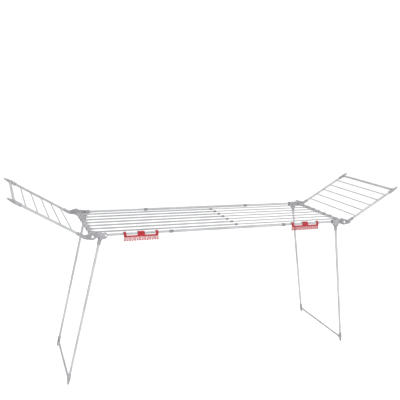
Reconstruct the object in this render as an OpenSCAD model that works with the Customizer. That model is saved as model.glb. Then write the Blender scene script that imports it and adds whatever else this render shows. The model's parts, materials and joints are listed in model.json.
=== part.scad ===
// Extending clothes drying rack: a telescopic hanging plane with two raised wings,
// two folding leg frames and two comb clips for small laundry.
// Millimetres, +Z up. The origin is on the floor under the middle of the rack,
// X runs along the rack and the front is at -Y. It is drawn pulled out, wings raised.

/* [Rack] */
// Distance from the middle to each wing hinge axis, rack pulled out
hinge_x = 825; // [800:5:850]
// Height of the hanging plane and of the hinge axes
plane_z = 920; // [880:5:960]
// Distance from the middle to each side rail
rail_y = 265; // [265:1:285]
// How far the rack shortens when it is pushed together
travel = 680; // [600:10:680]

/* [Hanging lines] */
// Outer radius of the wide half of each line
line_tube_r = 5; // [4.8:0.1:5.2]
// Radius of the thin half that slides in it
line_rod_r = 3.5; // [3:0.1:3.6]
// Where the wide halves end
line_tube_end = 80; // [40:5:90]
// Where the thin halves end, inside the wide ones
line_rod_end = -60; // [-90:5:-20]

/* [Side rails] */
// Radius of the two end tubes of a rail
end_rail_r = 7; // [6.5:0.1:7]
// Radius of the middle tube that slides on them
mid_rail_r = 8; // [8:0.1:8.3]
// Half the length of the middle tube
mid_rail_half = 382; // [375:1:384]
// Outer radius of the collars on its ends
rail_collar_r = 9.3; // [9:0.1:9.4]

/* [Wings] */
// Angle of a raised wing above the horizontal
wing_tilt = 31; // [20:1:40]
// Distance from the hinge axis to the wing's end bar
wing_len = 430; // [420:2:440]
// Pitch of the thin rods, counted in from the end bar
rod_pitch = 65; // [60:1:66]
// Number of thin rods on a wing
rod_count = 5; // [3:1:5]
// Distance from the hinge axis down to the plane of the wing
wing_drop = 24; // [23:0.5:26]
// Distance from the middle to each wing rail
wing_rail_y = 270; // [270:1:286]

/* [Legs] */
// Angle of an open leg frame from the vertical
leg_splay = 13; // [8:0.5:15]
// Distance from the middle to the legs of the narrow, left frame
left_leg_y = 243; // [240:1:244]
// Distance from the middle to the legs of the wide, right frame
right_leg_y = 262; // [262:1:264]
// Radius of a leg tube
leg_r = 7.5; // [7:0.1:7.6]

/* [Clips] */
// Length of a comb clip
clip_len = 200; // [180:5:220]
// Distance from the middle to the centre of the left clip
left_clip_x = 552; // [520:1:555]
// Distance from the middle to the centre of the right clip
right_clip_x = 530; // [520:1:555]
// Number of comb fingers
finger_count = 14; // [10:1:16]

/* [Hidden] */
$fn = 48;
wall = 0.9;
snug = 0.05;
running = 0.06;
line_count = 7;
line_pitch = 2 * rail_y / (line_count + 1);
line_numbers = [1 : line_count];
left = -1;
right = 1;
front = -1;
back = 1;

// Hinge tube, knuckles and wing arms
hinge_tube_r = 8;
hinge_bore_r = 6.6;
knuckle_r = 19;
knuckle_in = rail_y - 11.5;
knuckle_out = rail_y + 9;
arm_in = knuckle_out + 0.6;
arm_out = arm_in + 12.4;
hinge_half = arm_out + 1.4;

// Bracket: rail socket, end boss and leg clevis
rail_socket_r = 11.5;
rail_socket_start = 47;
web_end = 44;
web_r = 10.5;
web_half = 9;
boss_x = 74;
boss_r = 11;
boss_out = rail_y + 14;
rail_start = 24;
pivot_x = 48;
pivot_drop = 23;
lobe_r = 10.5;
lobe_t = 5.4;
lobe_gap = 0.6;
eye_r = 10;
eye_half = 9.5;
pin_r = 3;
pin_head_r = 5.4;

// Wing parts, measured from the hinge axis along the wing
arm_neck = [36, -wing_drop];
arm_neck_r = 10;
wing_socket_r = 9.3;
wing_socket_start = 29;
wing_socket_end = 78;
wing_tube_start = 42;
rod_r = 3.3;
wing_bar_r = 7;

// Corner pieces, shared by the wings and the feet
corner_r = 9.5;
corner_socket = 38;
corner_seat = 12;
side_boss_r = 9;
side_boss = 16;
side_seat = 4;
horn_len = 34;
horn_tip_r = 3.8;

// Legs, measured from the pivot along the leg
leg_len = (plane_z - pivot_drop) / cos(leg_splay);
foot_tip = 32;
foot_tip_r = 4.6;
leg_bar_at = leg_len - foot_tip;
leg_bar_r = 6.5;
leg_socket_r = 9.2;
leg_socket_end = 37;
leg_tube_start = 14;

// Line sleeves
sleeve_r = 11.5;
sleeve_half = 11;
sleeve_end = 28;
line_start = 16;
line_collar_r = 6.6;

// Clip profile, measured from the rail axis
hook_in_r = 9.6;
clip_t = 2.2;
hook_r = hook_in_r + clip_t;
band_top = -8;
band_end = -18;
finger_end = -40;
window_end = 86;
window_start = 20;
lip_top = 1.5;
slot_w = 3.4;

frame_grey = "silver";
plastic_grey = "darkgray";
clip_red = "red";

// ---- Helpers ----

// Round bar along X
module x_bar(r, x0, x1) {
    translate([x0, 0, 0]) rotate([0, 90, 0]) cylinder(r = r, h = x1 - x0);
}

// Round bar along Y
module y_bar(r, y0, y1) {
    translate([0, y0, 0]) rotate([-90, 0, 0]) cylinder(r = r, h = y1 - y0);
}

// Tube along X
module x_tube(r, x0, x1, t = wall) {
    difference() {
        x_bar(r, x0, x1);
        x_bar(r - t, x0 - 1, x1 + 1);
    }
}

// Outline drawn in X and Z, made solid from y0 to y1
module y_slab(y0, y1) {
    translate([0, y1, 0]) rotate([90, 0, 0]) linear_extrude(y1 - y0) children();
}

// Outline drawn in Y and Z, made solid from x0 to x1
module x_slab(x0, x1) {
    translate([x0, 0, 0]) rotate([90, 0, 90]) linear_extrude(x1 - x0) children();
}

function polar(r, a) = [r * cos(a), r * sin(a)];

// Two discs joined by their outer tangents
module link_outline(p, rp, q, rq) {
    hull() {
        translate(p) circle(r = rp);
        translate(q) circle(r = rq);
    }
}

// Hinge axis of one end; inside it +X points to the middle of the rack
module at_end(end) {
    translate([end * hinge_x, 0, plane_z]) mirror([end == right ? 1 : 0, 0, 0]) children();
}

// Front or back row; inside it +Y points out of the rack
module in_row(row) {
    mirror([0, row == front ? 1 : 0, 0]) children();
}

// Wing of one end; inside it +X runs along the wing away from the hinge
module on_wing(end) {
    at_end(end) rotate([0, wing_tilt, 0]) mirror([1, 0, 0]) children();
}

// Leg frame of one end; inside it +X runs down the leg from the pivot
module on_legs(end) {
    at_end(end) translate([pivot_x, 0, -pivot_drop]) rotate([0, 90 + leg_splay, 0]) children();
}

function leg_y(end) = end == left ? left_leg_y : right_leg_y;
function clip_x(end) = end == left ? -left_clip_x : right_clip_x;
function line_y(i) = (i - (line_count + 1) / 2) * line_pitch;

// ---- End frames ----

// Moulded corner bracket: hinge knuckle, rail socket and clevis for the leg
module bracket(end, row) {
    outer_lobe = leg_y(end) + eye_half + lobe_gap;
    inner_lobe = leg_y(end) - eye_half - lobe_gap - lobe_t;
    color(plastic_grey) at_end(end) in_row(row) difference() {
        union() {
            y_bar(knuckle_r, knuckle_in, knuckle_out);
            y_slab(rail_y - web_half, rail_y + web_half)
                link_outline([0, 0], knuckle_r - 2, [web_end, 0], web_r);
            translate([0, rail_y, 0]) x_bar(rail_socket_r, rail_socket_start, boss_x + 6);
            translate([boss_x, 0, 0]) y_bar(boss_r, rail_y - rail_socket_r, boss_out);
            y_slab(outer_lobe, outer_lobe + lobe_t)
                link_outline([pivot_x, -4], 14, [pivot_x, -pivot_drop], lobe_r);
            y_slab(inner_lobe, inner_lobe + lobe_t)
                link_outline([pivot_x, -9], 3, [pivot_x, -pivot_drop], lobe_r);
            translate([pivot_x - 13, inner_lobe, -pivot_drop + eye_r + 1])
                cube([26, outer_lobe + lobe_t - inner_lobe, 7]);
        }
        y_bar(hinge_tube_r + snug, knuckle_in - 1, knuckle_out + 1);
        translate([0, rail_y, 0]) x_bar(end_rail_r + snug, rail_start - 1, boss_x + 20);
        translate([pivot_x, 0, -pivot_drop]) y_bar(pin_r + snug, inner_lobe - 1, outer_lobe + lobe_t + 1);
        translate([boss_x, 0, 0]) y_bar(pin_r + snug, rail_y, boss_out + 1);
    }
}

// Hollow cross tube: it joins the two brackets and is the axle of the wing
module hinge_tube(end) {
    color(frame_grey) at_end(end) difference() {
        union() {
            y_bar(hinge_tube_r, -hinge_half, hinge_half);
            for (row = [front, back])
                in_row(row) y_bar(hinge_tube_r + 1.6, arm_out + 0.4, hinge_half);
        }
        y_bar(hinge_bore_r, -hinge_half - 1, hinge_half + 1);
    }
}

// Sleeves on the hinge tube, one per line
module line_sleeves(end) {
    bore = end == left ? line_tube_r : line_rod_r;
    color(plastic_grey) at_end(end) for (i = line_numbers)
        translate([0, line_y(i), 0]) difference() {
            union() {
                y_bar(sleeve_r, -sleeve_half, sleeve_half);
                x_bar(bore + 2.4, 0, sleeve_end);
            }
            y_bar(hinge_tube_r + snug, -sleeve_half - 1, sleeve_half + 1);
            x_bar(bore + snug, line_start - 1, sleeve_end + 1);
        }
}

// Rail rivets and leg pivot pins of one end
module rivets(end) {
    lobes_in = leg_y(end) - eye_half - lobe_gap - lobe_t;
    lobes_out = leg_y(end) + eye_half + lobe_gap + lobe_t;
    color(frame_grey) at_end(end) for (row = [front, back]) in_row(row) {
        translate([boss_x, 0, 0]) {
            y_bar(pin_r, rail_y + end_rail_r + 0.2, boss_out + 0.2);
            y_bar(pin_head_r, boss_out + 0.1, boss_out + 1.5);
        }
        translate([pivot_x, 0, -pivot_drop]) {
            y_bar(pin_r, lobes_in - 0.5, lobes_out + 0.2);
            y_bar(pin_head_r, lobes_out + 0.1, lobes_out + 1.5);
        }
    }
}

// Thin end tube of a side rail
module end_rail(end, row) {
    color(frame_grey) at_end(end) in_row(row) translate([0, rail_y, 0])
        x_tube(end_rail_r, rail_start, hinge_x - travel / 2 - 4);
}

module line_tube(i) {
    color(frame_grey) at_end(left) translate([0, line_y(i), 0])
        x_tube(line_tube_r, line_start, hinge_x + line_tube_end, 0.8);
}

module line_rod(i) {
    color(frame_grey) at_end(right) translate([0, line_y(i), 0])
        x_bar(line_rod_r, line_start, hinge_x - line_rod_end);
}

// Plastic bush on the open end of each wide line
module line_collars() {
    color(plastic_grey) for (i = line_numbers)
        translate([line_tube_end, line_y(i), plane_z]) difference() {
            x_bar(line_collar_r, -16, 4);
            x_bar(line_tube_r + snug, -17, 0);
            x_bar(line_rod_r + running, -1, 5);
        }
}

// ---- Middle rails ----

module mid_rail(row) {
    color(frame_grey) in_row(row) translate([0, rail_y, plane_z])
        x_tube(mid_rail_r, -mid_rail_half, mid_rail_half, 0.7);
}

// Plastic collars on both ends of both middle tubes
module rail_collars() {
    color(plastic_grey) for (row = [front, back], turn = [0, 180])
        in_row(row) translate([0, rail_y, plane_z]) rotate([0, 0, turn])
            translate([mid_rail_half, 0, 0]) difference() {
                x_bar(rail_collar_r, -22, 2);
                x_bar(mid_rail_r + snug, -23, 0);
                x_bar(end_rail_r + running, -1, 3);
            }
}

// ---- Wings ----

// Moulded arm from the hinge tube to a wing rail
module wing_arm(end, row) {
    color(plastic_grey) on_wing(end) in_row(row) difference() {
        union() {
            y_slab(arm_in, arm_out) link_outline([0, 0], knuckle_r, arm_neck, arm_neck_r);
            translate([0, wing_rail_y, -wing_drop])
                x_bar(wing_socket_r, wing_socket_start, wing_socket_end);
        }
        y_bar(hinge_tube_r + running, arm_in - 1, arm_out + 1);
        translate([0, wing_rail_y, -wing_drop])
            x_bar(end_rail_r + snug, wing_tube_start - 1, wing_socket_end + 1);
    }
}

function rod_at(i) = wing_len - i * rod_pitch;

module wing_rail(end, row) {
    color(frame_grey) on_wing(end) in_row(row) difference() {
        translate([0, wing_rail_y, -wing_drop])
            x_tube(end_rail_r, wing_tube_start, wing_len - corner_seat);
        for (i = [1 : rod_count])
            translate([rod_at(i), 0, -wing_drop])
                y_bar(rod_r + snug, wing_rail_y - end_rail_r - 2, wing_rail_y);
    }
}

module wing_rods(end) {
    color(frame_grey) on_wing(end) for (i = [1 : rod_count])
        translate([rod_at(i), 0, -wing_drop])
            y_bar(rod_r, -wing_rail_y + side_seat, wing_rail_y - side_seat);
}

module wing_end_bar(end) {
    color(frame_grey) on_wing(end) translate([wing_len, 0, -wing_drop])
        y_bar(wing_bar_r, -wing_rail_y + side_seat, wing_rail_y - side_seat);
}

// Corner piece: socket for the tube at -X, boss for the bar at -Y, horn towards +X
module corner(tube_r, bar_r, length, tip_r) {
    difference() {
        union() {
            x_bar(corner_r, -corner_socket, 0);
            y_bar(side_boss_r, -side_boss, 0);
            rotate([0, 90, 0]) cylinder(r1 = corner_r, r2 = tip_r, h = length);
            translate([length, 0, 0]) sphere(r = tip_r);
        }
        x_bar(tube_r + snug, -corner_socket - 1, -corner_seat);
        y_bar(bar_r + snug, -side_boss - 1, -side_seat);
    }
}

module wing_corners(end) {
    color(plastic_grey) on_wing(end) for (row = [front, back])
        in_row(row) translate([wing_len, wing_rail_y, -wing_drop])
            corner(end_rail_r, wing_bar_r, horn_len, horn_tip_r);
}

// ---- Leg frames ----

// Sockets that turn on the pivot pins and hold the leg tubes
module leg_sockets(end) {
    color(plastic_grey) on_legs(end) for (row = [front, back])
        in_row(row) translate([0, leg_y(end), 0]) difference() {
            union() {
                y_bar(eye_r, -eye_half, eye_half);
                x_bar(leg_socket_r, 0, leg_socket_end);
            }
            y_bar(pin_r + running, -eye_half - 1, eye_half + 1);
            x_bar(leg_r + snug, leg_tube_start - 1, leg_socket_end + 1);
        }
}

module leg(end, row) {
    color(frame_grey) on_legs(end) in_row(row) translate([0, leg_y(end), 0])
        x_tube(leg_r, leg_tube_start, leg_bar_at - corner_seat);
}

module leg_bar(end) {
    color(frame_grey) on_legs(end) translate([leg_bar_at, 0, 0])
        y_bar(leg_bar_r, -leg_y(end) + side_seat, leg_y(end) - side_seat);
}

// Corner pieces whose tips are cut flat by the floor
module feet(end) {
    color(plastic_grey) difference() {
        on_legs(end) for (row = [front, back])
            in_row(row) translate([leg_bar_at, leg_y(end), 0])
                corner(leg_r, leg_bar_r, foot_tip + 4, foot_tip_r);
        translate([-2 * hinge_x, -rail_y * 2, -60]) cube([4 * hinge_x, 4 * rail_y, 60]);
    }
}

// ---- Comb clips ----

// Profile of the clip: from the free lip over the rail and down its outer side
module clip_outline() {
    polygon(concat(
        [for (a = [-15 : 7.5 : 180]) polar(hook_r, a)],
        [[-hook_r, finger_end], [-hook_in_r, finger_end]],
        [for (a = [180 : -7.5 : -15]) polar(hook_in_r, a)]));
}

// Slot between two fingers, flared at the open end
module finger_slot() {
    half = slot_w / 2;
    polygon([[-half, band_end], [half, band_end], [half, finger_end + 5],
             [half + 3, finger_end - 1], [-half - 3, finger_end - 1], [-half, finger_end + 5]]);
}

// Moulded comb that hangs on the front rail by three bands
module clip(end) {
    pitch = (clip_len + slot_w) / finger_count;
    color(clip_red) translate([clip_x(end), -rail_y, plane_z]) difference() {
        x_slab(-clip_len / 2, clip_len / 2) clip_outline();
        for (i = [1 : finger_count - 1])
            translate([-(clip_len + slot_w) / 2 + i * pitch, 0, 0])
                y_slab(-hook_r - 1, -hook_in_r + 1) finger_slot();
        for (side = [-1, 1])
            translate([side * (window_start + window_end) / 2, 0, 0]) {
                width = window_end - window_start;
                translate([-width / 2, -20, band_top]) cube([width, 20, 40]);
                translate([-width / 2, -20, lip_top]) cube([width, 40, 30]);
            }
    }
}

// ---- Assembly ----

bracket(left, front);  // left_front_bracket
bracket(left, back);  // left_back_bracket
hinge_tube(left);  // left_hinge_tube
line_sleeves(left);  // left_line_sleeves
rivets(left);  // left_rivets
end_rail(left, front);  // left_front_rail
end_rail(left, back);  // left_back_rail
line_collars();
for (i = line_numbers)
    line_tube(i);

bracket(right, front);  // right_front_bracket
bracket(right, back);  // right_back_bracket
hinge_tube(right);  // right_hinge_tube
line_sleeves(right);  // right_line_sleeves
rivets(right);  // right_rivets
end_rail(right, front);  // right_front_rail
end_rail(right, back);  // right_back_rail
for (i = line_numbers)
    line_rod(i);

mid_rail(front);  // front_mid_rail
mid_rail(back);  // back_mid_rail
rail_collars();

for (end = [left, right]) {
    name = end == left ? "left" : "right";
    wing_arm(end, front);
    wing_arm(end, back);
    wing_rail(end, front);
    wing_rail(end, back);
    wing_end_bar(end);
    wing_rods(end);
    wing_corners(end);
    leg_sockets(end);
    leg(end, front);
    leg(end, back);
    leg_bar(end);
    feet(end);
    clip(end);
}
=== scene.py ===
import json
import math

import bmesh
import bpy
from mathutils import Matrix, Vector


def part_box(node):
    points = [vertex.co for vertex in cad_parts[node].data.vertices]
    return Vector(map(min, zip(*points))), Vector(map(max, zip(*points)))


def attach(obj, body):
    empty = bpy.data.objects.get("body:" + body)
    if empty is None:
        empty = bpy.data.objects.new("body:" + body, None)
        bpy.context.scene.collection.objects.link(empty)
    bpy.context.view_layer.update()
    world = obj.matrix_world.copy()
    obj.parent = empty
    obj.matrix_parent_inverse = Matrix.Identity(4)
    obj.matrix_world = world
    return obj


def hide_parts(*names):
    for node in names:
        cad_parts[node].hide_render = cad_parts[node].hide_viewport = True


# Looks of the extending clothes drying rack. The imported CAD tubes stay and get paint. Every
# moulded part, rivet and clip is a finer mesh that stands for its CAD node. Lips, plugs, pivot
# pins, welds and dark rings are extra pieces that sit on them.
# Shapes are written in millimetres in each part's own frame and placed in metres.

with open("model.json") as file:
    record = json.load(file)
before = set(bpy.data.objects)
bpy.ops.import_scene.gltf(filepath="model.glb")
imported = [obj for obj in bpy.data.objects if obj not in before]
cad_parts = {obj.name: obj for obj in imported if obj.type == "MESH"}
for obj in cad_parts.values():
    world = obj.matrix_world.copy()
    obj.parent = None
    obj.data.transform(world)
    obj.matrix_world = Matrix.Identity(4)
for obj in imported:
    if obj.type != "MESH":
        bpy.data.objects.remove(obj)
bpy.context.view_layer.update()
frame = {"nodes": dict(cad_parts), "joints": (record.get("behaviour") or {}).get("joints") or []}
nodes = frame["nodes"]
joints = {j["name"]: j for j in frame["joints"]}

MM = 0.001
ENDS = ("left", "right")
ROWS = ("front", "back")
LINES = range(1, 8)

# ---- Places read from the frame ----


def centre(node):
    low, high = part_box(node)
    return (low + high) / 2


def is_left(end):
    return end == "left"


hinge = {end: Vector(joints[end + "_wing_hinge"]["pos_m"]) for end in ENDS}
pivot = {end: Vector(joints[end + "_leg_hinge"]["pos_m"]) for end in ENDS}
plane_z = hinge["left"].z
rail_y = centre("back_mid_rail").y / MM
wing_rail_y = centre("left_wing_back_rail").y / MM
leg_y = {end: centre(end + "_back_leg").y / MM for end in ENDS}
line_y = [centre(f"line_tube_{i}").y / MM for i in LINES]
pivot_x = (pivot["left"].x - hinge["left"].x) / MM
pivot_drop = (plane_z - pivot["left"].z) / MM
wing_drop = 24.0  # how far a wing's rails lie below its hinge line
bar_reach = centre("left_wing_end_bar") - hinge["left"]
wing_len = math.sqrt((bar_reach.length / MM) ** 2 - wing_drop**2)
wing_tilt = math.atan2(bar_reach.z, -bar_reach.x) + math.atan2(wing_drop, wing_len)
leg_reach = centre("left_leg_bar") - pivot["left"]
leg_len = leg_reach.length / MM
leg_splay = math.atan2(-leg_reach.x, -leg_reach.z)


def scaled(x, y, z):
    return Matrix.Diagonal((x, y, z, 1))


UNIT = scaled(MM, MM, MM)
ROW = {"front": scaled(1, -1, 1), "back": Matrix.Identity(4)}
AT_END = {end: Matrix.Translation(hinge[end]) @ scaled(1 if is_left(end) else -1, 1, 1) @ UNIT
          for end in ENDS}
ON_WING = {end: AT_END[end] @ Matrix.Rotation(wing_tilt, 4, "Y") @ scaled(-1, 1, 1) for end in ENDS}
ON_LEGS = {end: AT_END[end] @ Matrix.Translation((pivot_x, 0, -pivot_drop))
           @ Matrix.Rotation(math.pi / 2 + leg_splay, 4, "Y") for end in ENDS}
ABOUT_Y = Matrix.Rotation(math.pi / 2, 4, "Z")

# ---- Outlines ----


def arc(cx, cy, r, a0, a1, steps=16):
    """Points on an arc; angles in degrees."""
    turns = [math.radians(a0 + (a1 - a0) * k / steps) for k in range(steps + 1)]
    return [(cx + r * math.cos(a), cy + r * math.sin(a)) for a in turns]


def rounded(points, r, steps=4, closed=False):
    """The polyline with its corners rounded. r is one radius, or one for each point."""
    n = len(points)
    radii = r if isinstance(r, (list, tuple)) else [r] * n
    out = []
    for i, here in enumerate(points):
        if radii[i] <= 0 or (not closed and i in (0, n - 1)):
            out.append(here)
            continue
        v, a, b = Vector(here), Vector(points[i - 1]), Vector(points[(i + 1) % n])
        to_a, to_b = a - v, b - v
        if to_a.length < 1e-6 or to_b.length < 1e-6:
            out.append(here)
            continue
        bend = math.pi - to_a.angle(to_b)
        reach = min(radii[i] * math.tan(bend / 2), to_a.length * 0.48, to_b.length * 0.48)
        start, end = v + to_a.normalized() * reach, v + to_b.normalized() * reach
        for k in range(steps + 1):
            t = k / steps
            out.append(tuple(start * (1 - t) ** 2 + v * 2 * t * (1 - t) + end * t**2))
    return out


def link(p, rp, q, rq, steps=14):
    """Outline of two discs joined by their outer tangents."""
    along = Vector(q) - Vector(p)
    heading = math.degrees(math.atan2(along.y, along.x))
    lean = math.degrees(math.acos((rp - rq) / along.length))
    return (arc(*q, rq, heading - lean, heading + lean, steps)
            + arc(*p, rp, heading + lean, heading + 360 - lean, steps))


# ---- Mesh building ----


def revolve(bm, profile, place=Matrix.Identity(4), ring=False, segments=40):
    """Turns (along, radius) points round the X axis of place. A ring's profile is closed."""
    rows = []
    for along, radius in profile:
        if radius < 1e-6:
            rows.append([bm.verts.new(place @ Vector((along, 0, 0)))])
            continue
        turns = [2 * math.pi * k / segments for k in range(segments)]
        rows.append([bm.verts.new(place @ Vector((along, radius * math.cos(a), radius * math.sin(a))))
                     for a in turns])
    pairs = list(zip(rows, rows[1:])) + ([(rows[-1], rows[0])] if ring else [])
    for one, two in pairs:
        for k in range(segments):
            n = (k + 1) % segments
            if len(one) == 1:
                bm.faces.new((one[0], two[n], two[k]))
            elif len(two) == 1:
                bm.faces.new((one[k], one[n], two[0]))
            else:
                bm.faces.new((one[k], one[n], two[n], two[k]))


def bar(bm, profile, edge=1.0, place=Matrix.Identity(4), segments=40):
    """Solid of revolution whose (along, radius) profile gets rounded edges and closed ends."""
    ends = [(profile[0][0], 0), *profile, (profile[-1][0], 0)]
    revolve(bm, rounded(ends, edge), place, segments=segments)


def tube(bm, profile, bore, edge=0.6, place=Matrix.Identity(4), segments=40):
    """Like bar, with a straight bore right through it."""
    loop = [*profile, (profile[-1][0], bore), (profile[0][0], bore)]
    revolve(bm, rounded(loop, edge, closed=True), place, ring=True, segments=segments)


def slab(bm, outline, y0, y1, edge, place=Matrix.Identity(4), axis="y"):
    """Outline in X and Z made solid from y0 to y1, its edges rounded. With axis "z" the outline
    is in X and Y, and y0 and y1 are heights."""
    part = bmesh.new()

    def spot(p, level):
        return (p[0], level, p[1]) if axis == "y" else (p[0], p[1], level)

    low = [part.verts.new(spot(p, y0)) for p in outline]
    high = [part.verts.new(spot(p, y1)) for p in outline]
    rims = [part.faces.new(low), part.faces.new(high)]
    for k in range(len(outline)):
        n = (k + 1) % len(outline)
        part.faces.new((low[k], low[n], high[n], high[k]))
    around = list({e for f in rims for e in f.edges})
    bmesh.ops.bevel(part, geom=around, offset=edge, segments=3, profile=0.6,
                    affect="EDGES", clamp_overlap=True)
    bmesh.ops.transform(part, matrix=place, verts=part.verts)
    add_all(bm, part)


def add_all(bm, part):
    """Moves everything of part into bm."""
    spare = bpy.data.meshes.new("spare")
    part.to_mesh(spare)
    part.free()
    bm.from_mesh(spare)
    bpy.data.meshes.remove(spare)


def block(bm, x, y, z, edge):
    """Box given as its ranges in x, y and z, with all edges rounded."""
    outline = rounded([(x[0], z[0]), (x[1], z[0]), (x[1], z[1]), (x[0], z[1])], edge, closed=True)
    slab(bm, outline, y[0], y[1], edge)


def evaluated(mesh, *modifiers):
    """The mesh after those modifiers, given as (type, settings)."""
    thing = bpy.data.objects.new("work", mesh)
    bpy.context.scene.collection.objects.link(thing)
    for kind, settings in modifiers:
        m = thing.modifiers.new(kind, kind)
        for key, value in settings.items():
            setattr(m, key, value)
    bpy.context.view_layer.update()
    done = bpy.data.meshes.new_from_object(thing.evaluated_get(bpy.context.evaluated_depsgraph_get()))
    bpy.data.objects.remove(thing)
    return done


def to_mesh(bm):
    bmesh.ops.recalc_face_normals(bm, faces=bm.faces)
    mesh = bpy.data.meshes.new("shell")
    bm.to_mesh(mesh)
    bm.free()
    return mesh


def moulding(shells, bores, voxel=0.6, melt=5):
    """One moulding from overlapping closed shells. They melt together with small fillets at the
    joins, and the bores are then cut cleanly through it."""
    mesh = evaluated(to_mesh(shells),
                     ("REMESH", {"mode": "VOXEL", "voxel_size": voxel, "adaptivity": 0.0}),
                     ("SMOOTH", {"factor": 0.5, "iterations": melt}),
                     ("DECIMATE", {"ratio": 0.3}))
    cutter = bpy.data.objects.new("cutter", to_mesh(bores))
    bpy.context.scene.collection.objects.link(cutter)
    mesh = evaluated(mesh, ("BOOLEAN", {"operation": "DIFFERENCE", "solver": "EXACT",
                                        "use_self": True, "object": cutter}))
    bpy.data.objects.remove(cutter)
    return mesh


def placed(mesh, place):
    """A copy of the mesh put in its place in the rack."""
    copy = mesh.copy()
    copy.transform(place)
    if place.determinant() < 0:
        copy.flip_normals()
    return copy


def joined(meshes):
    bm = bmesh.new()
    for mesh in meshes:
        bm.from_mesh(mesh)
    mesh = bpy.data.meshes.new("joined")
    bm.to_mesh(mesh)
    bm.free()
    return mesh


def piece(name, mesh, body, finish, replaces=(), sharp=35):
    """Puts a finished mesh in the scene, shaded smooth but for its sharp edges."""
    bm = bmesh.new()
    bm.from_mesh(mesh)
    for face in bm.faces:
        face.smooth = True
    for edge in bm.edges:
        edge.smooth = len(edge.link_faces) == 2 and edge.calc_face_angle(0) < math.radians(sharp)
    bm.to_mesh(mesh)
    bm.free()
    mesh.materials.clear()
    mesh.materials.append(finish)
    thing = bpy.data.objects.new(name, mesh)
    bpy.context.scene.collection.objects.link(thing)
    normals = thing.modifiers.new("even_normals", "WEIGHTED_NORMAL")
    normals.keep_sharp = True
    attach(thing, body)
    if replaces:
        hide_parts(*replaces)
    return thing


# ---- Materials ----


class Finish:
    """A Principled material built node by node, in the part's own coordinates in metres."""

    def __init__(self, name, base, roughness, metallic=0.0, specular=0.5):
        self.material = bpy.data.materials.new(name)
        self.material.use_nodes = True
        self.tree = self.material.node_tree
        self.shader = self.tree.nodes["Principled BSDF"]
        self.shader.inputs["Metallic"].default_value = metallic
        self.shader.inputs["Specular IOR Level"].default_value = specular
        self.shader.inputs["Roughness"].default_value = roughness
        self.shader.inputs["Base Color"].default_value = (*base, 1)
        self.place = self.node("ShaderNodeTexCoord").outputs["Object"]
        self.height = None

    def node(self, kind, **settings):
        made = self.tree.nodes.new(kind)
        for key, value in settings.items():
            setattr(made, key, value)
        return made

    def wire(self, source, socket):
        self.tree.links.new(source, socket)

    def grain(self, scale, stretch=(1, 1, 1), turn=(0, 0, 0), detail=4.0, rough=0.55, seed=0.0):
        """Noise from 0 to 1. scale is in bumps a metre; stretch slows it along an axis."""
        turned = self.node("ShaderNodeMapping")
        turned.inputs["Rotation"].default_value = turn
        self.wire(self.place, turned.inputs["Vector"])
        mapping = self.node("ShaderNodeMapping")
        mapping.inputs["Location"].default_value = (seed, seed * 0.7, seed * 1.3)
        mapping.inputs["Scale"].default_value = stretch
        self.wire(turned.outputs["Vector"], mapping.inputs["Vector"])
        noise = self.node("ShaderNodeTexNoise")
        noise.inputs["Scale"].default_value = scale
        noise.inputs["Detail"].default_value = detail
        noise.inputs["Roughness"].default_value = rough
        self.wire(mapping.outputs["Vector"], noise.inputs["Vector"])
        return noise.outputs["Fac"]

    def span(self, value, low, high, out_low=0.0, out_high=1.0):
        """value between low and high, spread to out_low … out_high."""
        ranged = self.node("ShaderNodeMapRange")
        ranged.interpolation_type = "SMOOTHSTEP"
        limits = {"From Min": low, "From Max": high, "To Min": out_low, "To Max": out_high}
        for key, number in limits.items():
            ranged.inputs[key].default_value = number
        self.wire(value, ranged.inputs["Value"])
        return ranged.outputs["Result"]

    def maths(self, operation, one, two):
        made = self.node("ShaderNodeMath", operation=operation)
        for k, value in enumerate((one, two)):
            if isinstance(value, (int, float)):
                made.inputs[k].default_value = value
            else:
                self.wire(value, made.inputs[k])
        return made.outputs["Value"]

    def blend(self, amount, one, two):
        """Colour from one to two; each is a colour or a socket."""
        mix = self.node("ShaderNodeMix", data_type="RGBA")
        self.wire(amount, mix.inputs["Factor"])
        for key, value in (("A", one), ("B", two)):
            socket = [s for s in mix.inputs if s.name == key and s.type == "RGBA"][0]
            if isinstance(value, tuple):
                socket.default_value = (*value, 1)
            else:
                self.wire(value, socket)
        return [s for s in mix.outputs if s.type == "RGBA"][0]

    def edges(self, low=0.52, high=0.60):
        """1 on convex edges, 0 elsewhere."""
        return self.span(self.node("ShaderNodeNewGeometry").outputs["Pointiness"], low, high)

    def colour(self, socket):
        self.wire(socket, self.shader.inputs["Base Color"])

    def roughness(self, socket):
        self.wire(socket, self.shader.inputs["Roughness"])

    def bump(self, height, depth, strength):
        """Adds relief of that depth in metres; calls stack."""
        made = self.node("ShaderNodeBump")
        made.inputs["Strength"].default_value = strength
        made.inputs["Distance"].default_value = depth
        self.wire(height, made.inputs["Height"])
        if self.height is not None:
            self.wire(self.height, made.inputs["Normal"])
        self.height = made.outputs["Normal"]
        self.wire(self.height, self.shader.inputs["Normal"])


def shade(base, factor):
    """The colour made darker or lighter."""
    return tuple(c * factor for c in base)


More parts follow.
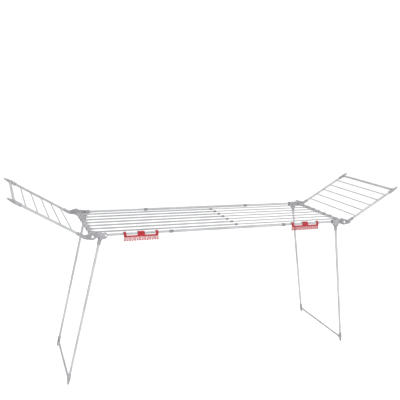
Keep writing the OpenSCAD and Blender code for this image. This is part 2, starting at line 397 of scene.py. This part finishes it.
def paint(name, stretch, turn=(0, 0, 0), base=(0.295, 0.299, 0.309), seed=0.0):
    """Satin silver paint on drawn steel tube: fine sparkle, faint draw lines and rub marks."""
    f = Finish(name, base, 0.34, metallic=0.25, specular=0.35)
    cloud = f.grain(9, detail=3, seed=seed)
    drawn = f.grain(520, stretch, turn, detail=2, seed=seed + 3)
    flake = f.grain(2600, detail=1, seed=seed + 5)
    rub = f.span(f.grain(70, stretch, turn, detail=5, rough=0.7, seed=seed + 8), 0.58, 0.74)
    tone = f.blend(f.span(cloud, 0.35, 0.65), shade(base, 0.88), shade(base, 1.08))
    tone = f.blend(f.maths("MULTIPLY", f.span(flake, 0.5, 0.72), 0.35), tone, shade(base, 1.45))
    f.colour(f.blend(f.maths("MULTIPLY", rub, 0.4), tone, shade(base, 0.72)))
    f.roughness(f.maths("ADD", f.span(drawn, 0.3, 0.7, 0.26, 0.36), f.maths("MULTIPLY", rub, 0.12)))
    f.bump(f.grain(420, detail=2, seed=seed + 1), 0.00005, 0.5)
    f.bump(drawn, 0.00004, 0.5)
    return f.material


def plastic(name, base=(0.222, 0.222, 0.236), seed=0.0):
    """Moulded grey plastic: fine spark-eroded grain, faint flow marks, paler scuffed edges."""
    f = Finish(name, base, 0.46, specular=0.45)
    cloud = f.grain(38, detail=5, seed=seed)
    flow = f.grain(160, (1, 1, 0.2), detail=3, seed=seed + 2)
    skin = f.grain(2400, detail=3, rough=0.6, seed=seed + 4)
    tone = f.blend(f.span(cloud, 0.32, 0.68), shade(base, 0.86), shade(base, 1.12))
    tone = f.blend(f.maths("MULTIPLY", f.span(flow, 0.55, 0.75), 0.22), tone, shade(base, 1.35))
    scuff = f.maths("MULTIPLY", f.edges(), f.span(f.grain(300, detail=4, seed=seed + 6), 0.4, 0.62))
    f.colour(f.blend(f.maths("MULTIPLY", scuff, 0.25), tone, (0.52, 0.52, 0.53)))
    f.roughness(f.span(f.grain(90, detail=4, seed=seed + 7), 0.3, 0.7, 0.38, 0.54))
    f.bump(skin, 0.00006, 0.6)
    f.bump(flow, 0.00003, 0.4)
    return f.material


def steel(name, base=(0.78, 0.78, 0.79), seed=0.0):
    """Bare steel of rivets, pins and plugs, with fine turning marks and small dull patches."""
    f = Finish(name, base, 0.2, metallic=1.0)
    dull = f.grain(400, detail=5, rough=0.7, seed=seed)
    f.colour(f.blend(f.span(dull, 0.35, 0.7), shade(base, 1.08), shade(base, 0.77)))
    f.roughness(f.span(dull, 0.3, 0.7, 0.14, 0.34))
    f.bump(f.grain(3000, (1, 0.1, 1), detail=2, seed=seed + 2), 0.00003, 0.5)
    return f.material


def red_plastic(name):
    """Semi-gloss red plastic with faint flow marks and slightly paler edges."""
    f = Finish(name, (0.255, 0.006, 0.013), 0.3, specular=0.3)
    f.shader.inputs["Subsurface Weight"].default_value = 0.05
    f.shader.inputs["Subsurface Radius"].default_value = (0.004, 0.0008, 0.0006)
    cloud = f.grain(45, detail=4, seed=2)
    flow = f.grain(120, (0.25, 1, 1), detail=4, rough=0.6, seed=4)
    tone = f.blend(f.span(cloud, 0.3, 0.7), (0.225, 0.005, 0.012), (0.285, 0.008, 0.015))
    tone = f.blend(f.maths("MULTIPLY", f.span(flow, 0.55, 0.78), 0.25), tone, (0.36, 0.019, 0.022))
    f.colour(f.blend(f.maths("MULTIPLY", f.edges(0.53, 0.62), 0.3), tone, (0.45, 0.045, 0.045)))
    f.roughness(f.span(f.grain(140, detail=4, seed=6), 0.3, 0.7, 0.22, 0.38))
    f.bump(f.grain(1500, detail=2, seed=7), 0.00004, 0.4)
    f.bump(flow, 0.00004, 0.3)
    return f.material


def dull_black(name):
    """Dull black with a fine grain and grey dust."""
    f = Finish(name, (0.03, 0.03, 0.032), 0.7, specular=0.35)
    dust = f.span(f.grain(260, detail=5, seed=1), 0.5, 0.75)
    f.colour(f.blend(f.maths("MULTIPLY", dust, 0.35), (0.028, 0.028, 0.03), (0.12, 0.12, 0.12)))
    f.roughness(f.span(dust, 0, 1, 0.62, 0.82))
    f.bump(f.grain(1800, detail=3, seed=5), 0.00008, 0.6)
    return f.material


ALONG = 0.02  # how much slower the paint's marks change along a tube than across it
PAINT_X = paint("silver_paint_rails", (ALONG, 1, 1))
PAINT_LINE = paint("silver_paint_lines", (ALONG, 1, 1), base=(0.265, 0.268, 0.277), seed=11)
PAINT_Y = paint("silver_paint_bars", (1, ALONG, 1), seed=21)
PAINT_WING = {end: paint("silver_paint_wing_" + end, (ALONG, 1, 1), seed=31,
                         turn=(0, wing_tilt * (-1 if is_left(end) else 1), 0)) for end in ENDS}
PAINT_LEG = {end: paint("silver_paint_leg_" + end, (1, 1, ALONG), base=(0.34, 0.344, 0.354), seed=41,
                        turn=(0, leg_splay * (-1 if is_left(end) else 1), 0)) for end in ENDS}
GREY = plastic("moulded_grey_end_frames")
GREY_WING = plastic("moulded_grey_wings", (0.205, 0.205, 0.216), seed=13)
GREY_LEG = plastic("moulded_grey_legs", (0.222, 0.222, 0.232), seed=23)
GREY_SMALL = plastic("moulded_grey_collars", (0.145, 0.145, 0.152), seed=33)
STEEL = steel("rivet_steel_domed")
# Darker grey steel: the pivot pins' own colour, and painted shade on the right end's rivet heads.
GREY_STEEL_AND_RIVET_SHADE = steel("grey_steel_and_painted_rivet_shade", (0.27, 0.27, 0.28), seed=9)
RED = red_plastic("comb_red_gloss")
DARK_RING_BLACK = dull_black("dark_ring_black")

# ---- Painted tubes: the CAD nodes, with paint along each tube ----


def painted(node, finish):
    nodes[node].data.materials.clear()
    nodes[node].data.materials.append(finish)


for end in ENDS:
    painted(end + "_hinge_tube", PAINT_Y)
    painted(end + "_wing_rods", PAINT_Y)
    painted(end + "_wing_end_bar", PAINT_Y)
    painted(end + "_leg_bar", PAINT_Y)
    for row in ROWS:
        painted(f"{end}_{row}_rail", PAINT_X)
        painted(f"{end}_wing_{row}_rail", PAINT_WING[end])
        painted(f"{end}_{row}_leg", PAINT_LEG[end])
for row in ROWS:
    painted(row + "_mid_rail", PAINT_X)
for i in LINES:
    painted(f"line_tube_{i}", PAINT_LINE)
    painted(f"line_rod_{i}", PAINT_LINE)

# ---- End frames ----

FIT = 0.05  # gap between a bore and the part that stays in it
LOOSE_FIT = 0.06  # gap between a bore and the part that turns in it
TUBE_R = 8.0
KNUCKLE_R = 19.0
KNUCKLE_Y = (rail_y - 11.5, rail_y + 9)
ARM_Y = (KNUCKLE_Y[1] + 0.6, KNUCKLE_Y[1] + 13)
BOSS_X = 74.0
BOSS_OUT = rail_y + 14
BOSS_R = 11.5
RAIL_R = 7.0
PIN_R = 3.0
EYE_HALF = 9.5  # half the width of a leg socket's eye
EYE_GAP = 0.6  # between the eye and each clevis lobe
LOBE = 5.4
SKIRT_OUT = 11.1  # from the leg's middle to the skirt, clear of the eye
LINE_BORE = {"left": 5.0, "right": 3.5}
LIP_Y = ARM_Y[1] + 0.4


def y_place(x, z):
    """Turns a part revolved about X so that it stands along +Y at x, z."""
    return Matrix.Translation((x, 0, z)) @ ABOUT_Y


def x_place(y, z):
    """Moves a part revolved about X to y, z."""
    return Matrix.Translation((0, y, z))


def clevis(end):
    """Where the inner and the outer lobe of the leg's clevis start, in y."""
    inner = leg_y[end] - EYE_HALF - EYE_GAP - LOBE
    outer = leg_y[end] + EYE_HALF + EYE_GAP
    return inner, outer


def bracket_mesh(end):
    """Corner bracket: ribbed knuckle, pocketed web, rail socket, end boss, skirt and clevis."""
    inner, outer = clevis(end)
    bm = bmesh.new()
    inside, outside = KNUCKLE_Y
    bar(bm, [(inside - 1.6, 12.2), (inside + 0.6, 12.2), (inside + 0.6, KNUCKLE_R),
             (inside + 4, KNUCKLE_R), (inside + 5, KNUCKLE_R - 1), (outside - 5, KNUCKLE_R - 1),
             (outside - 4, KNUCKLE_R), (outside, KNUCKLE_R)], 0.8, y_place(0, 0))
    slab(bm, link((0, 0), KNUCKLE_R - 2, (44, 0), 10.5), rail_y - 9, rail_y + 7.2, 2)
    slab(bm, link((0, 0), KNUCKLE_R - 3, (40, 0), 3.2), rail_y + 6, rail_y + 9, 0.8)
    for x in (21, 29, 37):
        block(bm, (x - 1.1, x + 1.1), (rail_y + 5, rail_y + 8.8), (-11.5, 11.5), 0.5)
    bar(bm, [(40, 11), (48, BOSS_R), (BOSS_X + 1, BOSS_R), (BOSS_X + 2, 12.4), (BOSS_X + 6, 12.4)],
        0.9, x_place(rail_y, 0))
    bar(bm, [(rail_y - 11.5, 9.5), (rail_y - 10, 11), (BOSS_OUT - 1.6, 11), (BOSS_OUT, 9.8),
             (BOSS_OUT, 7.4), (BOSS_OUT - 2.0, 6.8)], 0.7, y_place(BOSS_X, 0))
    for start, top, top_r in ((outer, -4, 15.5), (inner, -9, 12)):
        lobe = link((pivot_x, top), top_r, (pivot_x, -pivot_drop), BOSS_R)
        slab(bm, lobe, start, start + LOBE, 1.2)
    skirt = max(rail_y + 3, leg_y[end] + SKIRT_OUT)
    slab(bm, link((52, -10), 13, (70, -9), 12), skirt, skirt + 4.6, 1.4)
    for y in (outer + LOBE - 0.6, inner - 0.9):
        bar(bm, [(y, 7.6), (y + 1.5, 7.6)], 0.5, y_place(pivot_x, -pivot_drop))
    block(bm, (pivot_x - 13, pivot_x + 13), (inner, outer + LOBE), (-12, -4), 1.2)
    for x in (pivot_x - 11, pivot_x + 9):
        block(bm, (x, x + 2), (inner + 1, outer + LOBE - 1), (-11.8, 2), 0.6)
    bores = bmesh.new()
    bar(bores, [(inside - 5, TUBE_R + FIT), (outside + 5, TUBE_R + FIT)], 0, y_place(0, 0), 48)
    bar(bores, [(23, RAIL_R + FIT), (BOSS_X + 20, RAIL_R + FIT)], 0, x_place(rail_y, 0), 48)
    bar(bores, [(inner - 5, PIN_R + FIT), (outer + LOBE + 5, PIN_R + FIT)], 0,
        y_place(pivot_x, -pivot_drop), 32)
    return moulding(bm, bores)


for end in ENDS:
    bracket = bracket_mesh(end)
    for row in ROWS:
        piece(f"{end}_{row}_bracket_moulding", placed(bracket, AT_END[end] @ ROW[row]),
              end + "_end_frame", GREY, [f"{end}_{row}_bracket"])


def hinge_lip_mesh():
    """Rolled lip on each end of the cross tube, outside the wing's arm."""
    bm = bmesh.new()
    tube(bm, [(LIP_Y, 9.2), (LIP_Y + 0.6, 9.7), (LIP_Y + 1.3, 9.2), (LIP_Y + 1.6, TUBE_R)], 6.5, 0.4,
         y_place(0, 0), 48)
    return to_mesh(bm)


def hinge_plug_mesh():
    """Domed steel plug that closes each end of the cross tube."""
    bm = bmesh.new()
    bar(bm, [(LIP_Y - 8, 6.55), (LIP_Y + 0.4, 6.55), (LIP_Y + 1.0, 5.6), (LIP_Y + 1.4, 3.6),
             (LIP_Y + 1.5, 1.4)], 0.3, y_place(0, 0), 48)
    return to_mesh(bm)


lip = hinge_lip_mesh()
plug = hinge_plug_mesh()
for end in ENDS:
    piece(end + "_hinge_tube_plugs", joined([placed(plug, AT_END[end] @ ROW[row]) for row in ROWS]),
          end + "_end_frame", STEEL)
    piece(end + "_hinge_tube_lips", joined([placed(lip, AT_END[end] @ ROW[row]) for row in ROWS]),
          end + "_end_frame", PAINT_Y)


def sleeve_mesh(bore):
    """T-shaped sleeve: a beaded barrel on the cross tube and a short socket for one line."""
    bm = bmesh.new()
    bar(bm, [(-10, 9.6), (-9.0, 10.8), (-7.0, 10.8), (-6.0, 10.0), (6.0, 10.0), (7.0, 10.8),
             (9.0, 10.8), (10, 9.6)], 0.7, y_place(0, 0))
    bar(bm, [(2, bore + 3.4), (11, bore + 2.6), (14, bore + 1.9), (22.4, bore + 1.8),
             (23.4, bore + 2.5), (27, bore + 2.3)], 0.6)
    block(bm, (4, 21), (-1.3, 1.3), (-bore - 3.6, bore + 3.6), 1)
    bores = bmesh.new()
    bar(bores, [(-15, TUBE_R + FIT), (15, TUBE_R + FIT)], 0, y_place(0, 0), 48)
    bar(bores, [(15, bore + FIT), (32, bore + FIT)], 0, segments=32)
    return moulding(bm, bores, voxel=0.55, melt=3)


for end in ENDS:
    sleeve = sleeve_mesh(LINE_BORE[end])
    row_of = [placed(sleeve, AT_END[end] @ Matrix.Translation((0, y, 0))) for y in line_y]
    piece(end + "_line_sleeve_mouldings", joined(row_of), end + "_end_frame", GREY,
          [end + "_line_sleeves"])


def rivet_mesh():
    """Domed rail rivet in an end boss."""
    bm = bmesh.new()
    dome = [(BOSS_OUT - 2.0, 5.9), (BOSS_OUT - 1.2, 5.9), (BOSS_OUT - 0.4, 5.0),
            (BOSS_OUT + 0.2, 3.2), (BOSS_OUT + 0.4, 1.2)]
    shank = [(rail_y + RAIL_R + 0.2, PIN_R), (BOSS_OUT - 2.0, PIN_R)]
    bar(bm, shank + dome, 0.5, y_place(BOSS_X, 0), 32)
    return to_mesh(bm)


def pivot_pin_mesh(end):
    """Headed pin through a leg clevis."""
    inner, outer = clevis(end)
    face = outer + LOBE
    bm = bmesh.new()
    bar(bm, [(inner - 2.4, 3.2), (inner - 2.0, 4.8), (inner - 1.0, 4.8), (inner - 0.9, PIN_R),
             (face + 0.9, PIN_R), (face + 0.9, 5.4), (face + 1.7, 5.2), (face + 2.4, 3.4),
             (face + 2.5, 1.6)], 0.4, y_place(pivot_x, -pivot_drop), 32)
    return to_mesh(bm)


rivet = rivet_mesh()
for end in ENDS:
    pin = pivot_pin_mesh(end)
    # The right end's rivet heads take the darker grey steel as painted shade; the left ones stay bright
    # steel.
    piece(end + "_rivet_heads", joined([placed(rivet, AT_END[end] @ ROW[row]) for row in ROWS]),
          end + "_end_frame", STEEL if is_left(end) else GREY_STEEL_AND_RIVET_SHADE, [end + "_rivets"])
    piece(end + "_pivot_pins", joined([placed(pin, AT_END[end] @ ROW[row]) for row in ROWS]),
          end + "_end_frame", GREY_STEEL_AND_RIVET_SHADE)


def dark_ring_mesh():
    """Dark ring on the rail, against the mouth of its socket."""
    bm = bmesh.new()
    mouth = BOSS_X + 6.2
    tube(bm, [(mouth, 9.6), (mouth + 1.4, 10.6), (mouth + 3.2, 10.6), (mouth + 4.0, 9.8),
              (mouth + 4.8, 10.6), (mouth + 7.0, 10.6), (mouth + 9.0, 8.8)], RAIL_R + 0.04, 0.6,
         x_place(rail_y, 0), 48)
    return to_mesh(bm)


# Only the right end's rails get the dark ring.
dark_ring = dark_ring_mesh()
piece("right_rail_dark_rings", joined([placed(dark_ring, AT_END["right"] @ ROW[row]) for row in ROWS]),
      "right_end_frame", DARK_RING_BLACK)


def line_collar_mesh():
    """Bush on the end of a line tube, with two grip rings, that a thin rod slides in."""
    bm = bmesh.new()
    tube(bm, [(-16, 5.7), (-15, 6.3), (-3.6, 6.4), (-2.8, 6.9), (2.6, 6.9), (4, 5.6)], 3.56, 0.5)
    for k in range(2):
        tube(bm, [(-12.5 + 4.5 * k, 6.1), (-12 + 4.5 * k, 6.8), (-10.8 + 4.5 * k, 6.8),
                  (-10.3 + 4.5 * k, 6.1)], 5.2, 0.3)
    return to_mesh(bm)


line_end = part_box("line_tube_1")[1].x
collar = line_collar_mesh()
piece("line_collar_bushes",
      joined([placed(collar, Matrix.Translation((line_end, y * MM, plane_z)) @ UNIT) for y in line_y]),
      "left_end_frame", GREY_SMALL, ["line_collars"])

# ---- Middle rails ----


def rail_collar_mesh():
    """Collar on the end of a middle tube, with three grip rings."""
    bm = bmesh.new()
    tube(bm, [(-22, 8.5), (-21, 9.1), (-6.2, 9.0), (-5.2, 9.4), (0.8, 9.4), (2, 8.2)], 7.06, 0.6)
    for k in range(3):
        tube(bm, [(-18.5 + 4 * k, 8.8), (-18 + 4 * k, 9.4), (-16.9 + 4 * k, 9.4), (-16.4 + 4 * k, 8.8)],
             8.1, 0.3)
    return to_mesh(bm)


rail_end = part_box("front_mid_rail")[1].x
collar = rail_collar_mesh()
collars = []
for row in ROWS:
    for turn in (0, math.pi):
        spot = scaled(1, -1 if row == "front" else 1, 1) @ Matrix.Translation((0, rail_y * MM, plane_z))
        spot = spot @ Matrix.Rotation(turn, 4, "Z") @ Matrix.Translation((rail_end, 0, 0)) @ UNIT
        collars.append(placed(collar, spot))
piece("middle_rail_collars", joined(collars), "middle_rails", GREY_SMALL,
      ["rail_collars"])

# ---- Wings ----

ARM_NECK = (36.0, -wing_drop)
NECK_R = 10.0
WING_BAR_R = 7.0


def strip(start, stop_at, half):
    """Outline of a straight strip; half is the vector from its middle line to one edge."""
    corners = (start - half, stop_at - half, stop_at + half, start + half)
    return [tuple(corner_at) for corner_at in corners]


def wing_arm_mesh():
    """Wing arm: ringed knuckle, channelled link and the socket that takes the wing rail."""
    inside, outside = ARM_Y
    bm = bmesh.new()
    bar(bm, [(inside, KNUCKLE_R), (outside - 0.4, KNUCKLE_R), (outside, KNUCKLE_R - 0.6),
             (outside, KNUCKLE_R - 2.6), (outside - 2.2, KNUCKLE_R - 3.2), (outside - 2.2, 11.6),
             (outside, 10.9)], 0.5, y_place(0, 0))
    slab(bm, link((0, 0), KNUCKLE_R - 0.2, ARM_NECK, NECK_R), inside, outside - 3, 1)
    away = Vector(ARM_NECK).normalized()
    side = Vector((-away.y, away.x))
    for edge_side in (1, -1):
        start = side * edge_side * (KNUCKLE_R - 1.6) + away * 1
        stop_at = Vector(ARM_NECK) + side * edge_side * (NECK_R - 1.6)
        slab(bm, strip(start, stop_at, side * 1.5), outside - 5, outside, 0.6)
    neck_disc = link(ARM_NECK, NECK_R, (ARM_NECK[0] + 0.1, ARM_NECK[1]), NECK_R - 0.01)
    slab(bm, neck_disc, inside, outside, 1)
    middle_rib = strip(away * 12, Vector(ARM_NECK), side * 1.2)
    slab(bm, middle_rib, outside - 5, outside - 0.8, 0.5)
    bar(bm, [(29, 8.2), (31, 9.3), (70, 9.2), (71, 9.9), (77, 9.9), (78, 9.0)], 0.8,
        x_place(wing_rail_y, -wing_drop))
    for x in (46, 54, 62):
        bar(bm, [(x, 8.8), (x + 0.6, 9.8), (x + 2, 9.8), (x + 2.6, 8.8)], 0.3,
            x_place(wing_rail_y, -wing_drop))
    bores = bmesh.new()
    bar(bores, [(inside - 4, TUBE_R + LOOSE_FIT), (outside + 4, TUBE_R + LOOSE_FIT)], 0,
        y_place(0, 0), 48)
    bar(bores, [(41, RAIL_R + FIT), (82, RAIL_R + FIT)], 0, x_place(wing_rail_y, -wing_drop), 48)
    return moulding(bm, bores, voxel=0.5, melt=3)


arm = wing_arm_mesh()
for end in ENDS:
    for row in ROWS:
        piece(f"{end}_wing_{row}_arm_moulding", placed(arm, ON_WING[end] @ ROW[row]), end + "_wing",
              GREY_WING, [f"{end}_wing_{row}_arm"])


def corner_mesh(tube_r, bar_r, length, tip_r):
    """Corner piece: beaded tube socket, side boss for the bar, gusset, and a ribbed horn of that
    length past the bar. tip_r is the radius of the horn's tip."""
    body_r = 9.5
    bm = bmesh.new()
    bar(bm, [(-38, 8.8), (-37, 10.0), (-33, 10.0), (-32, 9.4), (0, body_r)], 0.8)
    bar(bm, arc(0, 0, body_r, 170, 10, 12), 0)
    side = Matrix.Rotation(-math.pi / 2, 4, "Z")
    bar(bm, [(-1, 9.0), (11.5, 8.9), (12.4, 9.5), (15, 9.5), (16, 8.5)], 0.6, side)
    taper = [(0, body_r), (length * 0.35, 7.9), (length * 0.7, 5.9), (length, tip_r)]
    bar(bm, rounded(taper, 30, 6) + arc(length, 0, tip_r, 80, 12, 6), 0)
    gusset = rounded([(-27, -3), (-3, -3), (-3, -14), (-8, -14)], 3, closed=True)
    slab(bm, gusset, -2.0, 2.0, 0.8, axis="z")
    rib = [(2, -1.3), (length * 0.8, -0.9), (length * 0.8, 0.9), (2, 1.3)]
    for turn in (0.5, -0.5):
        slab(bm, rib, 0, 6.0, 0.4, Matrix.Rotation(turn * math.pi, 4, "X"), axis="z")
    bores = bmesh.new()
    bar(bores, [(-43, tube_r + FIT), (-12, tube_r + FIT)], 0, segments=48)
    bar(bores, [(4, bar_r + FIT), (21, bar_r + FIT)], 0, side, 48)
    return moulding(bm, bores, voxel=0.5, melt=4)


corner = corner_mesh(RAIL_R, WING_BAR_R, length=34.0, tip_r=3.8)
at_corner = Matrix.Translation((wing_len, wing_rail_y, -wing_drop))
for end in ENDS:
    spots = [ON_WING[end] @ ROW[row] @ at_corner for row in ROWS]
    piece(end + "_wing_corner_mouldings", joined([placed(corner, s) for s in spots]), end + "_wing",
          GREY_WING, [end + "_wing_corners"])

ROD_PITCH = 65.0
ROD_COUNT = 5


def weld_mesh():
    """Fillet of weld and paint where a thin rod enters a wing rail."""
    bm = bmesh.new()
    face = wing_rail_y - RAIL_R
    tube(bm, [(face + 1.6, 5.4), (face + 0.1, 4.9), (face - 0.9, 4.1), (face - 1.7, 3.5)], 3.2, 0.4,
         y_place(0, 0), 20)
    return to_mesh(bm)


weld = weld_mesh()
for end in ENDS:
    spots = [ON_WING[end] @ ROW[row] @ Matrix.Translation((wing_len - i * ROD_PITCH, 0, -wing_drop))
             for row in ROWS for i in range(1, ROD_COUNT + 1)]
    piece(end + "_wing_rod_welds", joined([placed(weld, s) for s in spots]), end + "_wing",
          PAINT_Y)

# ---- Leg frames ----

LEG_R = 7.5
LEG_BAR_R = 6.5


def leg_socket_mesh():
    """Leg socket: pivot eye, ribbed neck and beaded mouth for the leg tube."""
    bm = bmesh.new()
    bar(bm, [(-EYE_HALF, 8.6), (-EYE_HALF + 1.4, 10), (EYE_HALF - 1.4, 10), (EYE_HALF, 8.6)], 0.6,
        y_place(0, 0))
    bar(bm, [(0, 9.4), (12, 9.5), (16, 10.3), (30, 10.1), (31, 10.6), (36, 10.6), (37, 9.6)], 0.8)
    rib = [(4, -1.2), (32, -1.2), (32, 1.2), (4, 1.2)]
    for turn in (0, math.pi):
        slab(bm, rib, 0, 10.2, 0.5, Matrix.Rotation(turn, 4, "X"), axis="z")
    bores = bmesh.new()
    bar(bores, [(-15, PIN_R + LOOSE_FIT), (15, PIN_R + LOOSE_FIT)], 0, y_place(0, 0), 32)
    bar(bores, [(13, LEG_R + FIT), (42, LEG_R + FIT)], 0, segments=48)
    return moulding(bm, bores, voxel=0.5, melt=3)


def cut_at_floor(mesh):
    """Cuts the mesh flat where it would pass below the floor, and closes the cut."""
    bm = bmesh.new()
    bm.from_mesh(mesh)
    everything = [*bm.verts, *bm.edges, *bm.faces]
    cut = bmesh.ops.bisect_plane(bm, geom=everything, plane_co=(0, 0, 0), plane_no=(0, 0, 1),
                                 clear_inner=True)
    rim = [e for e in cut["geom_cut"] if isinstance(e, bmesh.types.BMEdge)]
    bmesh.ops.holes_fill(bm, edges=rim, sides=0)
    bm.to_mesh(mesh)
    bm.free()
    return mesh


socket = leg_socket_mesh()
foot = corner_mesh(LEG_R, LEG_BAR_R, length=36.0, tip_r=4.6)
for end in ENDS:
    spots = [ON_LEGS[end] @ ROW[row] @ Matrix.Translation((0, leg_y[end], 0)) for row in ROWS]
    piece(end + "_leg_socket_mouldings", joined([placed(socket, s) for s in spots]),
          end + "_leg_frame", GREY_LEG, [end + "_leg_sockets"])
    spots = [s @ Matrix.Translation((leg_len, 0, 0)) for s in spots]
    piece(end + "_foot_mouldings", joined([cut_at_floor(placed(foot, s)) for s in spots]),
          end + "_leg_frame", GREY_LEG, [end + "_feet"])

# ---- Comb clips ----

CLIP_HALF = 100.0
CLIP_R = 10.7
CLIP_THICK = 2.2
LIP_ANGLE = 15.0
FINGERS = 14
SLOT = 3.4
SLIT = 2.4
BAND_END = 18.0
FINGER_END = 40.0
LIP_WIDTH = 3.6
WINDOW_X = (20.0, 86.0)
WINDOW_DROP = 8.0
EDGE = 0.4
SLIT_RISE = 1.5  # how far a slit runs up into the band
SLIT_TIP = 0.8  # how far a slit's round end lies above the round of its fingertip
KICK = 3.0  # how far the fingertips stand forward of the band
KICK_FROM = 12.0  # how far below the arch the fingers start to bend forward
BEND_CUTS = 34  # cuts across the arch, so that it bends smoothly
FINGER_CUTS = 7  # cuts at the same spacing that carry on below the arch
ARCH = math.radians(180 + LIP_ANGLE) * CLIP_R  # length of the bend over the rail


def clip_outlines():
    """Flat outlines of the clip: x along it, y from the free lip, over the arch, to the fingers."""
    pitch = (2 * CLIP_HALF + SLOT) / FINGERS
    width = pitch - SLOT
    tip = ARCH + FINGER_END
    lobe = width / 2
    edge = [(-CLIP_HALF, 0), (CLIP_HALF, 0)]
    for k in reversed(range(FINGERS)):
        x = -CLIP_HALF + k * pitch
        edge += arc(x + lobe, tip - lobe, lobe, 0, 180, 12)
        if k > 0:
            edge += arc(x - SLOT / 2, ARCH + BAND_END + SLOT / 2, SLOT / 2, 0, -180, 8)
    holes = []
    for k in range(FINGERS):
        x = -CLIP_HALF + k * pitch + lobe
        holes.append(arc(x, tip - lobe - SLIT_TIP, SLIT / 2, 0, 180, 8)
                     + arc(x, ARCH + BAND_END - SLIT_RISE, SLIT / 2, 180, 360, 8))
    for side in (-1, 1):
        a, b = sorted(side * x for x in WINDOW_X)
        box = [(a, LIP_WIDTH), (b, LIP_WIDTH), (b, ARCH + WINDOW_DROP), (a, ARCH + WINDOW_DROP)]
        holes.append(rounded(box, [2, 2, 7, 7], 6, closed=True))
    return [edge] + holes


def clip_mesh():
    """The comb, filled flat as a curve with rounded edges, then cut across and bent over the rail."""
    curve = bpy.data.curves.new("comb_outline", "CURVE")
    curve.dimensions = "2D"
    curve.fill_mode = "BOTH"
    curve.extrude = CLIP_THICK / 2 - EDGE
    curve.bevel_depth = EDGE
    curve.bevel_resolution = 2
    curve.offset = -EDGE
    for outline in clip_outlines():
        spline = curve.splines.new("POLY")
        spline.points.add(len(outline) - 1)
        for point, (x, y) in zip(spline.points, outline):
            point.co = (x, y, 0, 1)
        spline.use_cyclic_u = True
    thing = bpy.data.objects.new("work", curve)
    bpy.context.scene.collection.objects.link(thing)
    bpy.context.view_layer.update()
    flat = bpy.data.meshes.new_from_object(thing.evaluated_get(bpy.context.evaluated_depsgraph_get()))
    bpy.data.objects.remove(thing)
    bm = bmesh.new()
    bm.from_mesh(flat)
    bmesh.ops.remove_doubles(bm, verts=bm.verts, dist=0.001)
    for k in range(1, BEND_CUTS + FINGER_CUTS + 1):
        everything = [*bm.verts, *bm.edges, *bm.faces]
        cut_at = (0, ARCH * k / BEND_CUTS, 0)
        bmesh.ops.bisect_plane(bm, geom=everything, plane_co=cut_at, plane_no=(0, 1, 0))
    for vert in bm.verts:
        x, s, t = vert.co
        if s < ARCH:
            angle = s / CLIP_R - math.radians(LIP_ANGLE)
            vert.co = (x, (CLIP_R + t) * math.cos(angle), (CLIP_R + t) * math.sin(angle))
        else:
            down = s - ARCH
            kick = KICK * max(0.0, (down - KICK_FROM) / (FINGER_END - KICK_FROM)) ** 2
            vert.co = (x, -(CLIP_R + t) - kick, -down)
    return to_mesh(bm)


comb = clip_mesh()
for end in ENDS:
    spot = Matrix.Translation((centre(end + "_clip").x, -rail_y * MM, plane_z)) @ UNIT
    piece(end + "_clip_comb", placed(comb, spot), end + "_comb", RED, [end + "_clip"],
          sharp=40)

# ---- Floor, light and camera ----


LAMPS = {  # place, size in metres and power in watts
    "key": ((-2.0, -3.4, 3.2), 2.0, 110),
    "fill": ((2.6, -3.6, 2.2), 2.6, 60),
    "top": ((0.2, 0.6, 3.8), 2.4, 30),
}
LAMP_AIM = Vector((0, 0, 0.7))
FLOOR_RADIUS = 40
SURROUNDINGS = 1.03


def studio():
    """Plain white floor, soft white surroundings and three soft lamps."""
    bm = bmesh.new()
    bmesh.ops.create_circle(bm, cap_ends=True, segments=64, radius=FLOOR_RADIUS)
    floor = bpy.data.objects.new("floor", to_mesh(bm))
    bpy.context.scene.collection.objects.link(floor)
    f = Finish("floor_white", (0.98, 0.98, 0.98), 0.8, specular=0.0)
    f.colour(f.blend(f.grain(2, detail=2), (0.975, 0.975, 0.975), (0.985, 0.985, 0.985)))
    floor.data.materials.append(f.material)
    world = bpy.data.worlds.new("studio")
    world.use_nodes = True
    world.node_tree.nodes["Background"].inputs["Color"].default_value = (1, 1, 1, 1)
    world.node_tree.nodes["Background"].inputs["Strength"].default_value = SURROUNDINGS
    bpy.context.scene.world = world
    for name, (place, size, power) in LAMPS.items():
        lamp = bpy.data.lights.new(name, "AREA")
        lamp.shape = "DISK"
        lamp.size = size
        lamp.energy = power
        thing = bpy.data.objects.new(name, lamp)
        thing.location = place
        thing.rotation_mode = "QUATERNION"
        thing.rotation_quaternion = (LAMP_AIM - Vector(place)).to_track_quat("-Z", "Y")
        bpy.context.scene.collection.objects.link(thing)
    bpy.context.scene.view_settings.view_transform = "Standard"


CAMERA_AT = Vector((-1.269, -2.813, 1.698))
CAMERA_YAW = math.radians(22.92)
CAMERA_PITCH = math.radians(19.89)
CAMERA_ROLL = math.radians(3.21)
CAMERA_LENS = 43.9
CAMERA_SHIFT = (0.004, 0.1625)


def camera():
    """Camera in front of the left end and above the wings, turned to the right and down."""
    yaw, pitch, roll = CAMERA_YAW, CAMERA_PITCH, CAMERA_ROLL
    level = Vector((math.sin(yaw), math.cos(yaw), 0))
    across = Vector((math.cos(yaw), -math.sin(yaw), 0))
    up = Vector((0, 0, 1))
    ahead = level * math.cos(pitch) - up * math.sin(pitch)
    above = up * math.cos(pitch) + level * math.sin(pitch)
    right = across * math.cos(roll) + above * math.sin(roll)
    above = above * math.cos(roll) - across * math.sin(roll)
    data = bpy.data.cameras.new("camera")
    data.sensor_width = 36
    data.lens = CAMERA_LENS
    data.shift_x, data.shift_y = CAMERA_SHIFT
    data.clip_end = 200
    thing = bpy.data.objects.new("camera", data)
    turn = Matrix((right, above, -ahead)).transposed().to_4x4()
    thing.matrix_world = Matrix.Translation(CAMERA_AT) @ turn
    bpy.context.scene.collection.objects.link(thing)
    bpy.context.scene.camera = thing


studio()
camera()
